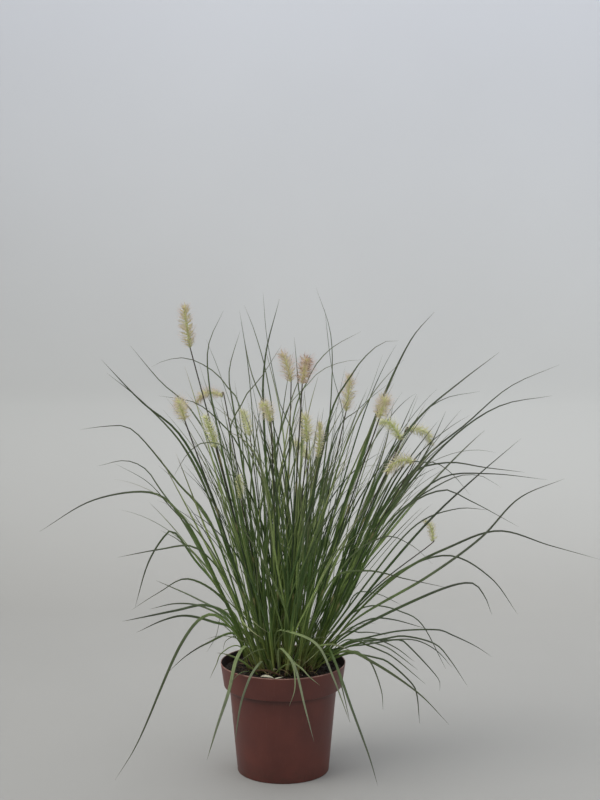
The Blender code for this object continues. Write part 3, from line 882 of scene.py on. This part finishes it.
def shoot_feet(rng):
    """Where the clump's shoots stand, and how each leans.

    The feet lie on a sunflower's even spiral, each shaken a little. A shoot's lean grows with its
    foot's distance from the middle to the power 1.2. The whole clump leans to the right, its right
    side the most.
    """
    order = np.arange(SHOOT_COUNT) + 0.5
    reach = CROWN_RADIUS * np.sqrt(order / SHOOT_COUNT)
    heading = flat_way(order * SPIRAL_STEP + rng.normal(0.0, 0.3, SHOOT_COUNT))
    lean = heading * (SHOOT_LEAN * (reach / CROWN_RADIUS) ** 1.2)[:, None]
    lean += rng.normal(0.0, math.radians(6.2), lean.shape)
    lean[:, 0] += np.radians(1.5 + 2.5 * np.clip(heading[:, 0] * reach / CROWN_RADIUS, 0.0, 1.0))
    flat = heading * reach[:, None] + rng.normal(0.0, 3.5, lean.shape)
    feet = np.column_stack([flat, soil_level(np.linalg.norm(flat, axis=-1)) - 1.5])
    return feet, lean


def stepped(steps):
    """How far each station lies from the first, when each step is added to the ones before it."""
    return np.concatenate([np.zeros_like(steps[:, :1]), np.cumsum(steps[:, :-1], axis=1)], axis=1)


def leaning_route(feet, lean, length):
    """Routes from their feet along leans that change on the way; lean is (pieces, stations, 2).

    A lean is a pair: its length is the angle from upright, and its direction the way the route heads.
    All the steps of a route are equal, and each goes the way of its lean.
    """
    angle = np.linalg.norm(lean, axis=-1, keepdims=True)
    heading = lean / np.maximum(angle, 1e-6)
    direction = np.concatenate([heading * np.sin(angle), np.cos(angle)], axis=-1)
    return feet[:, None, :] + stepped(direction * (length / (lean.shape[1] - 1))[:, None, None])


def shoot_blades(feet, shoot_lean, stations, rng):
    """The routes of the blades of every shoot.

    A blade follows its shoot, parts from it to one side over 60 mm, and then droops the way it heads
    as a power of what is left of its length. It bends to the left or right as well, and a slow wave
    of three degrees keeps it from running straight. The two sides of a shoot take turns, and its outer
    blades are shorter and part lower down and wider. Blades on the clump's right side grow longer.
    """
    count = SHOOT_COUNT * BLADES_PER_SHOOT
    shoot = np.repeat(np.arange(SHOOT_COUNT), BLADES_PER_SHOOT)
    age = np.tile(np.arange(BLADES_PER_SHOOT), SHOOT_COUNT) / (BLADES_PER_SHOOT - 1.0)
    side = np.tile(np.where(np.arange(BLADES_PER_SHOOT) % 2 == 0, 1.0, -1.0), SHOOT_COUNT)
    fan = rng.uniform(0.0, math.pi, SHOOT_COUNT)[shoot] + rng.normal(0.0, 0.35, count)
    part = np.radians(2.0 + 6.0 * age + rng.gamma(1.0, 6.0, count)) * side
    parting = 20.0 + 90.0 * (1.0 - age) * rng.uniform(0.5, 1.2, count)
    rightwards = feet[shoot, 0] / CROWN_RADIUS
    length = 380.0 + 30.0 * rightwards - 130.0 * age ** 2 + rng.normal(0.0, 50.0, count)
    length = length.clip(150.0, 470.0)
    run = np.linspace(0.0, 1.0, stations)[None, :] * length[:, None]
    parted = np.clip((run - parting[:, None]) / 60.0, 0.0, 1.0)
    parted = parted * parted * (3.0 - 2.0 * parted)
    lean = shoot_lean[shoot][:, None, :] + (part[:, None] * parted)[..., None] * flat_way(fan)[:, None, :]
    heading = unit(lean[:, -1])
    left = np.clip((run - parting[:, None]) / (length - parting)[:, None], 0.0, 1.0)
    droop = np.radians(rng.gamma(1.3, 16.0, count).clip(2.0, 95.0))[:, None] * left ** 2.0
    wave = np.radians(3.0) * np.sin(run / 45.0 + rng.uniform(0.0, 6.3, (count, 1)))
    bend = wave + np.radians(rng.normal(0.0, 12.0, count))[:, None] * left ** 1.3
    crossways = np.stack([-heading[:, 1], heading[:, 0]], axis=-1)
    lean = lean + droop[..., None] * heading[:, None, :] + bend[..., None] * crossways[:, None, :]
    return leaning_route(feet[shoot], lean, length)


def sheaths(feet, lean, rng):
    """Leaf sheaths: each shoot's foot, a straight bundle that tapers as it rises.

    Its girth falls as the share of its height to the power 1.3. It is a little flatter one way.
    """
    stations = 8
    corners = 10
    share = np.linspace(0.0, 1.0, stations)[None, :, None]
    length = rng.uniform(55.0, 105.0, len(feet))
    routes = leaning_route(feet, np.repeat(lean[:, None, :], stations, axis=1), length)
    girth = rng.uniform(1.8, 2.8, (len(feet), 1, 1)) * (1.0 - 0.55 * share ** 1.3)
    sideways = np.column_stack([flat_way(rng.uniform(0.0, math.pi, len(feet))), np.zeros(len(feet))])
    tones = rng.uniform(0.0, 0.8, (len(feet), 1, 1))
    return rods(routes, sideways, girth, corners, 0.72,
                along=share * 0.16, across=np.cos(ring(corners)), tone=tones)


def build_tufts(finish, rng):
    """Every other blade, in the tuft whose solid points its way."""
    stations = 32
    feet, lean = shoot_feet(rng)
    loose = loose_routes(stations)
    core = shoot_blades(feet, lean, stations, rng)
    routes = np.concatenate([loose, core])
    # Loose blades rooted on the right of the clump are the slimmest.
    widths = np.concatenate([[row[2] * (0.77 if row[1] > 12 else 0.85) for row in LOOSE_BLADES],
                             [row[0] * 0.85 for row in HANGING_BLADES], rng.uniform(1.7, 3.7, len(core))])
    tones = np.concatenate([[row[3] * 0.6 for row in LOOSE_BLADES], [row[1] for row in HANGING_BLADES],
                            rng.beta(0.5, 1.0, len(core)) ** 0.9 * 0.88])
    rolls = np.concatenate([facing(loose) + rng.normal(0.0, 0.4, len(loose)),
                            rng.normal(0.0, 1.0, len(core))])
    tip_powers = np.repeat([4.5, 3.8], [len(loose), len(core)])
    # A blade or a shoot belongs to the tuft that it points at, as seen from under the crown.
    crown = np.array([0.0, 0.0, SOIL_EDGE - CROWN_DEPTH])
    ways = unit(np.array(TUFTS, dtype=float) - crown).T
    shoot_points = feet + np.column_stack([lean, np.ones(SHOOT_COUNT)]) * 300.0
    blade_tuft, shoot_tuft = [np.argmax(unit(points - crown) @ ways, axis=1)
                              for points in (routes[:, stations * 2 // 3], shoot_points)]
    for number in range(len(TUFTS)):
        mine = blade_tuft == number
        parts = [blades(routes[mine], widths[mine], tones[mine], rolls[mine], tip_powers[mine])]
        mine = shoot_tuft == number
        if mine.any():
            parts.append(sheaths(feet[mine], lean[mine], rng))
        tuft = put_mesh(f"tuft_blades_{number + 1:02d}", joined(parts), finish)
        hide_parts(f"leaf_tuft_{number + 1:02d}")


def build_young_leaves(finish, rng):
    """Short young leaves low in the clump that lean out of it and curl over, paler than the rest.

    A leaf's lean starts at its shoot's, turned a little to one side, and grows as the share of its
    length to the power 1.6.
    """
    count = YOUNG_LEAF_COUNT
    stations = 18
    feet, lean = shoot_feet(rng)
    shoot = rng.integers(0, SHOOT_COUNT, count)
    away = flat_way(rng.uniform(0.0, FULL_TURN, count))
    start = lean[shoot] + away * np.radians(rng.uniform(5.0, 28.0, count))[:, None]
    share = np.linspace(0.0, 1.0, stations)[None, :]
    droop = np.radians(rng.uniform(20.0, 75.0, count))[:, None] * share ** 1.6
    route_lean = start[:, None, :] + unit(start)[:, None, :] * droop[..., None]
    routes = leaning_route(feet[shoot], route_lean, rng.uniform(45.0, 115.0, count))
    tones = rng.uniform(0.1, 0.7, count)
    made = blades(routes, rng.uniform(2.4, 4.2, count), tones, rng.normal(0.0, 1.2, count))
    put_mesh("young_leaves", made, finish)


def build_dry_leaves(finish, rng):
    """Dead leaf ends round the foot of the clump, and the pale scraps at the rim.

    A dead leaf is a short curled blade that lies outwards on the compost. It lifts off it as the sine
    of the share of its length, and drifts to one side in proportion to that share.
    """
    farthest = 75.0
    count = DRY_LEAF_COUNT
    stations = 10
    share = np.linspace(0.0, 1.0, stations)[None, :]
    heading = rng.uniform(0.0, FULL_TURN, count)[:, None]
    length = rng.uniform(12.0, 30.0, count)[:, None]
    start = rng.uniform(20.0, 46.0, count)[:, None]
    reach = np.minimum(start + length * share * 0.8, farthest)
    rise = rng.uniform(0.1, 0.6, (count, 1)) * np.sin(share * 2.6)
    height = soil_level(reach) + 0.8 + length * rise
    drift = heading + rng.normal(0.0, 0.5, (count, 1)) * share
    routes = np.stack([reach * np.cos(drift), reach * np.sin(drift), height], axis=-1)
    tones = rng.uniform(0.0, 1.0, count)
    made = blades(routes, rng.uniform(2.0, 4.5, count), tones, rng.normal(0.0, 1.5, count))
    put_mesh("dry_leaves", made, finish)
    scraps = np.array([smooth_route(points, stations) for _, points in PALE_SCRAPS])
    widths = np.array([width for width, _ in PALE_SCRAPS])
    made = blades(scraps, widths, np.full(len(scraps), 1.0), np.full(len(scraps), 0.9))
    put_mesh("pale_scraps", made, finish)


# ---------------------------------------------------------------- flowers

def build_stem(number, base, heading, finish):
    """A flowering stem: a round culm that bows a little, with a slight swelling at its two joints.

    Its girth falls evenly from root to spike, plus a narrow bell curve at each joint.
    """
    stations = 60
    bow = 0.05
    root = root_under(base, 0.5)
    span = base - root
    outwards = np.array([span[0], span[1], 0.0])
    middle = root + span * 0.5 - outwards * bow * 0.5
    middle = middle + np.array([0.0, 0.0, np.linalg.norm(outwards) * bow])
    route = smooth_route([root, middle, base - heading * 6.0, base], stations)[None]
    share = np.linspace(0.0, 1.0, stations)[None, :, None]
    joint = np.exp(-((share - 0.30) / 0.012) ** 2) + np.exp(-((share - 0.62) / 0.010) ** 2)
    girth = 1.25 - 0.5 * share + 0.35 * joint
    sideways = unit(np.array([[-span[1], span[0], 0.001]]))
    culm = rods(route, sideways, girth, 8, along=share, joint=joint)
    stem = put_mesh(f"culm_{number:02d}", culm, finish)
    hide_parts(f"flower_stem_{number:02d}")


def hairs_along(route, starts, turn, lean, length, girth, droop, stations, corners, **values):
    """Many small tapering hairs or scales set round a route.

    Each starts at a share of the route, points away from it at its turn and lean, and bends back
    towards the route's own heading by its droop. Its girth is the first number given, plus the second
    times a half sine along it.
    """
    ahead = unit(np.gradient(route, axis=0))
    places = np.linspace(0.0, 1.0, len(route))
    origin, forward = [np.column_stack([np.interp(starts, places, line[:, axis]) for axis in range(3)])
                       for line in (route, ahead)]
    forward = unit(forward)
    square = unit(np.cross(forward, SLANT))
    other = np.cross(forward, square)
    out = square * np.cos(turn)[:, None] + other * np.sin(turn)[:, None]
    share = np.linspace(0.0, 1.0, stations)[None, :, None]
    angle = lean[:, None, None] * (1.0 - droop[:, None, None] * share)
    direction = forward[:, None, :] * np.cos(angle) + out[:, None, :] * np.sin(angle)
    routes = origin[:, None, :] + stepped(direction * (length / (stations - 1))[:, None, None])
    swell = girth[0] + girth[1] * np.sin(math.pi * share ** 0.8)
    return rods(routes, unit(np.cross(forward, out)), swell, corners, along=share, **values)


def spindle(share):
    """A spike's outline: one half, plus half of a sine that peaks near its middle and falls to both ends."""
    return 0.5 + 0.5 * np.sin(math.pi * (0.14 + 0.78 * share))


def build_spike(number, base, tip, heading, ripeness, reach, husk, bristle, rng):
    """A bottle-brush spike: scales in a spiral round its stalk, and bristles between them.

    Both lean forward more towards the tip, as one less a power of the place along the spike, and
    their lengths follow the spindle.
    """
    scales_per_mm = 1.35
    bristles_per_mm = 6
    middle = (base + heading * np.linalg.norm(tip - base) * 0.6 + tip) * 0.5
    route = smooth_route([base, base + heading * 6.0, middle, tip], 40)
    size = np.linalg.norm(np.diff(route, axis=0), axis=1).sum()
    count = int(size * scales_per_mm)
    starts = np.linspace(0.02, 0.98, count)
    turn = np.arange(count) * SPIRAL_STEP + rng.normal(0.0, 0.25, count)
    lean = np.radians(rng.uniform(60.0, 82.0, count)) * (1.0 - 0.55 * starts ** 4)
    length = reach * rng.uniform(0.7, 1.1, count) * spindle(starts)
    droop = rng.uniform(0.1, 0.4, count)
    tone = rng.uniform(0.0, 1.0, count)[:, None, None]
    scales = hairs_along(route, starts, turn, lean, length, (0.18, 0.42), droop, 6, 5,
                         tone=tone, ripeness=ripeness ** 2)
    share = np.linspace(0.0, 1.0, len(route))[None, :, None]
    stalk = rods(route[None], SLANT[None], 1.5 - 0.9 * share, 6, along=0.0, tone=0.0, ripeness=ripeness ** 2)
    spike = put_mesh(f"spikelets_{number:02d}", joined([scales, stalk]), husk)
    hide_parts(f"flower_spike_{number:02d}")
    count = int(size * bristles_per_mm)
    starts = rng.uniform(0.0, 0.98, count)
    lean = np.radians(rng.uniform(45.0, 85.0, count)) * (1.0 - 0.5 * starts ** 5)
    length = reach * rng.uniform(0.9, 1.55, count) * spindle(starts)
    turn = rng.uniform(0.0, FULL_TURN, count)
    droop = rng.uniform(0.0, 0.35, count)
    made = hairs_along(route, starts, turn, lean, length, (0.06, 0.07), droop, 4, 3, ripeness=ripeness)
    put_mesh(f"spike_bristles_{number:02d}", made, bristle)


def build_flowers(rng):
    """The eighteen flowering stems with their spikes, each spike starting in line with its stem."""
    culm = grass_culm()
    husk = spikelet_husk()
    bristle = spike_bristle()
    for number, (base, tip, ripeness, reach) in enumerate(FLOWERS, 1):
        base = np.array(base, dtype=float)
        tip = np.array(tip, dtype=float)
        root = root_under(base, 0.5)
        heading = unit(unit(base - root) * 0.6 + unit(tip - base) * 0.4)
        build_stem(number, base, heading, culm)
        build_spike(number, base, tip, heading, ripeness, reach, husk, bristle, rng)


# ---------------------------------------------------------------- stage, light and camera

def stage_paint():
    """A matt paint with painted shade: darker towards the floor, the left and the front, with the faintest
    unevenness.
    """
    made, node = new_material("stage_paint")
    # How far to the right, to the back and up, in metres.
    place = node("TexCoord", out="Object")
    across, away, height = [node("SeparateXYZ", (place,), out=axis) for axis in "XYZ"]
    # Painted shade: darker towards the floor.
    colour = node("ValToRGB", (node("MapRange", (height, 0.0, 1.2)),),
                  stops=((0.0, "#b1b0ad"), (0.3, "#d9dad9"), (1.0, "#d5d8df")))
    # Painted light and shade: darker to the left and towards the front.
    colour = layered(node, colour,
                     ("MULTIPLY", 1.0, node("MapRange", (across, -0.7, 0.7, 0.89, 1.11))),
                     ("MULTIPLY", 1.0, node("MapRange", (away, -0.2, 0.9, 0.87, 1.0))))
    paint = node("BsdfPrincipled", {"Base Color": mottled(node, colour, 0.97, 1.0, 400.0, 2.0),
                                    "Roughness": 0.9})
    # The wall shows its painted side only, so that it never stands in front of the plant.
    back = node("NewGeometry", out="Backfacing")
    node("OutputMaterial", (node("MixShader", (back, paint, node("BsdfTransparent"))),))
    return made


def build_stage():
    """A round pale floor, and behind the plant a wall that rises from it through a quarter circle."""
    floor_radius = 3000.0
    wall_half_width = 2800.0
    wall_height = 4500.0
    wall_y = 1300.0
    bend = 400.0
    angle = np.linspace(0.0, math.pi / 2.0, 24)
    y = np.concatenate([wall_y - bend + bend * np.sin(angle), [wall_y]])
    z = np.concatenate([bend - bend * np.cos(angle), [wall_height]])
    sides = np.tile([-wall_half_width, wall_half_width], y.size)
    wall = np.column_stack([sides, np.repeat(y, 2), np.repeat(z, 2)])
    index = np.arange(len(wall)).reshape(-1, 2)
    faces = np.stack([index[:-1, 0], index[:-1, 1], index[1:, 1], index[1:, 0]], axis=-1)
    floor = np.pad(floor_radius * flat_way(ring(96)), ((0, 0), (0, 1)))
    mesh = bpy.data.meshes.new("studio_sweep")
    mesh.from_pydata((np.vstack([wall, floor]) * MM).tolist(), [],
                     [*faces.tolist(), list(range(len(wall), len(wall) + len(floor)))])
    mesh.shade_smooth()
    mesh.materials.append(stage_paint())
    sweep = bpy.data.objects.new("studio_sweep", mesh)
    bpy.context.collection.objects.link(sweep)


def add_area_light(name, place, aim, size, watts, colour):
    """A soft square light at a place, turned towards a point; lengths in metres."""
    light = bpy.data.lights.new(name, "AREA")
    light.size = size
    light.energy = watts
    light.color = linear(colour)[:3]
    lamp = bpy.data.objects.new(name, light)
    bpy.context.collection.objects.link(lamp)
    away = np.array(place, dtype=float) - np.array(aim, dtype=float)
    lamp.location = place
    lamp.rotation_euler = (math.acos(away[2] / np.linalg.norm(away)), 0.0, math.atan2(away[0], -away[1]))


def build_lights():
    """Soft daylight from the upper left front, a weaker fill from the right, and an even sky."""
    add_area_light("window", (-1.9, -0.9, 2.3), (0.0, 0.0, 0.35), 2.0, 38.0, "#fffdf8")
    add_area_light("fill", (2.2, -1.2, 1.4), (0.0, 0.0, 0.3), 2.4, 10.0, "#f4f8ff")
    add_area_light("ceiling", (0.0, 0.1, 2.8), (0.0, 0.25, 0.0), 2.6, 42.0, "#ffffff")
    world = bpy.data.worlds.new("even_sky")
    world.use_nodes = True
    sky = world.node_tree.nodes["Background"]
    sky.inputs["Color"].default_value = linear("#dfe3e6")
    sky.inputs["Strength"].default_value = 0.40
    bpy.context.scene.world = world
    bpy.context.scene.view_settings.view_transform = "Standard"


def build_camera():
    """A long lens two metres away and a little above, looking slightly down; its place in metres."""
    downwards = 5.9
    lens = bpy.data.cameras.new("camera")
    lens.lens = 67.5
    lens.sensor_width = 36.0
    camera = bpy.data.objects.new("camera", lens)
    bpy.context.collection.objects.link(camera)
    camera.location = (0.023, -1.993, 0.713)
    camera.rotation_euler = (math.radians(90.0 - downwards), 0.0, 0.0)
    bpy.context.scene.camera = camera


def main():
    build_camera()
    build_stage()
    build_lights()
    build_pot(moulded_polypropylene())
    compost = peat_compost()
    build_soil(compost)
    rng = np.random.default_rng(RANDOM_SEED)
    build_grains("compost_crumbs", CRUMB_COUNT, 0.6, 3.4, compost, rng)
    build_grains("perlite_grains", PERLITE_COUNT, 0.7, 1.8, perlite(), rng)
    build_fibres(bark_fibre(), rng)
    leaf = grass_blade()
    build_arching_leaves(leaf, rng)
    build_tufts(leaf, np.random.default_rng(CLUMP_SEED))
    build_young_leaves(leaf, rng)
    build_dry_leaves(dry_leaf(), rng)
    build_flowers(rng)


main()
